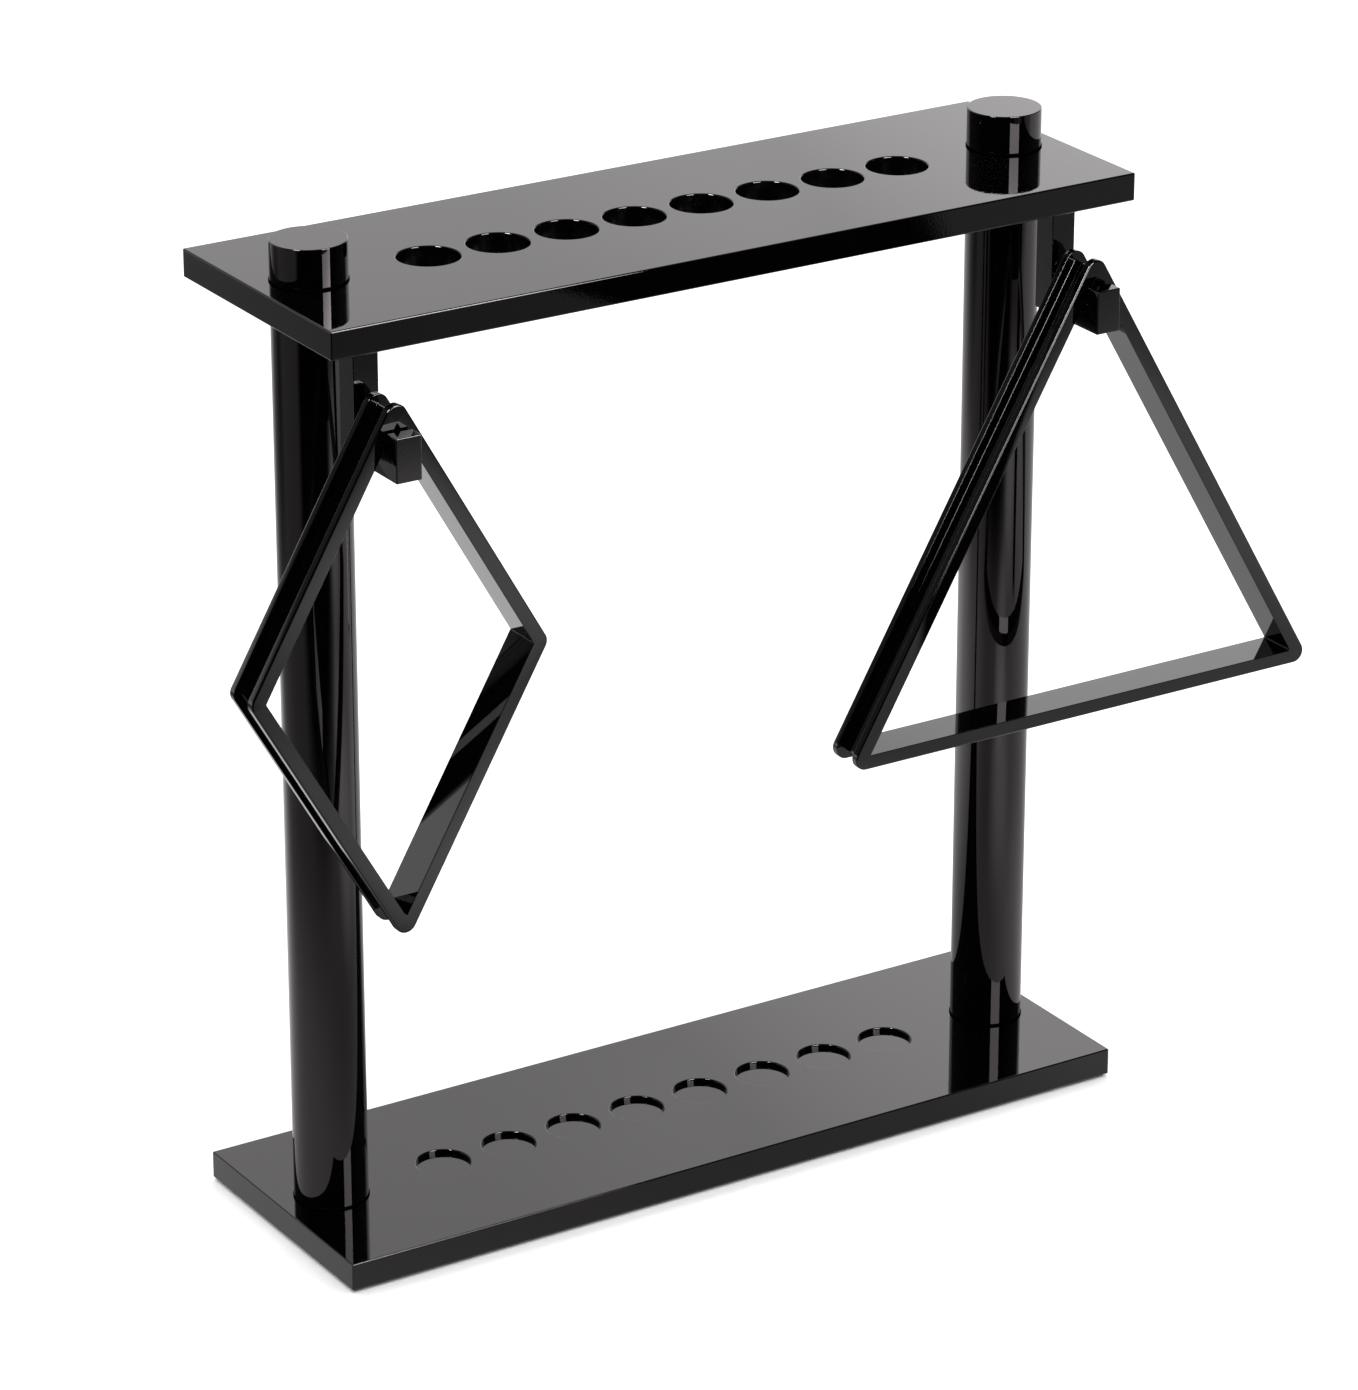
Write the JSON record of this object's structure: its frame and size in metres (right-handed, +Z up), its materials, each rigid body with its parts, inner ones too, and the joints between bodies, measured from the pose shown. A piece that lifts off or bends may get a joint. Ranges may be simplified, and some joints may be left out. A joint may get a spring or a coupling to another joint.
{
  "type": "billiard cue stand",
  "caption": "Free-standing gloss black cue stand on round columns, with a triangle ball rack and a diamond ball rack hung on J hooks under its top plate.",
  "frame": {"origin": "centre of the felt liner's underside, where the stand's footprint meets the floor", "axes": "+X along the plates towards the triangle rack's end, +Y towards the back, away from the racks, +Z up"},
  "size_m": [0.7728, 0.207, 0.6474],
  "materials": {
    "plate_lacquer": "mirror gloss black lacquer over board",
    "column_lacquer": "mirror gloss black lacquer on turned wood",
    "hook_lacquer": "gloss black lacquer",
    "rack_plastic": "gloss moulded black",
    "ring_rubber": "soft black, slightly shiny",
    "zinc_steel": "zinc plated, threaded",
    "insert_brass": "turned brass",
    "beech": "bare fluted dowel",
    "felt": "pressed felt"
  },
  "bodies": {
    "stand": {"base_plate": "plate_lacquer", "top_plate": "plate_lacquer", "felt_liner": "felt", "column_left": "column_lacquer", "column_right": "column_lacquer", "cap_left": "column_lacquer", "cap_right": "column_lacquer", "foot_ring_left": "ring_rubber", "foot_ring_right": "ring_rubber", "cap_ring_left": "ring_rubber", "cap_ring_right": "ring_rubber", "hook_left": "hook_lacquer", "hook_right": "hook_lacquer", "hook_dowel_left": "beech", "hook_dowel_right": "beech", "base_bolt_left": "zinc_steel", "base_bolt_right": "zinc_steel", "base_washer_left": "zinc_steel", "base_washer_right": "zinc_steel", "top_stud_left": "zinc_steel", "top_stud_right": "zinc_steel", "insert_foot_left": "insert_brass", "insert_foot_right": "insert_brass", "insert_top_left": "insert_brass", "insert_top_right": "insert_brass", "insert_cap_left": "insert_brass", "insert_cap_right": "insert_brass"},
    "triangle": {"triangle_rack": "rack_plastic"},
    "diamond": {"diamond_rack": "rack_plastic"}
  },
  "joints": [
    {"name": "triangle_lift", "type": "slide", "parent": "stand", "child": "triangle", "axis": [0, 0, 1], "range_m": [0, 0.024]},
    {"name": "diamond_lift", "type": "slide", "parent": "stand", "child": "diamond", "axis": [0, 0, 1], "range_m": [0, 0.024]}
  ]
}
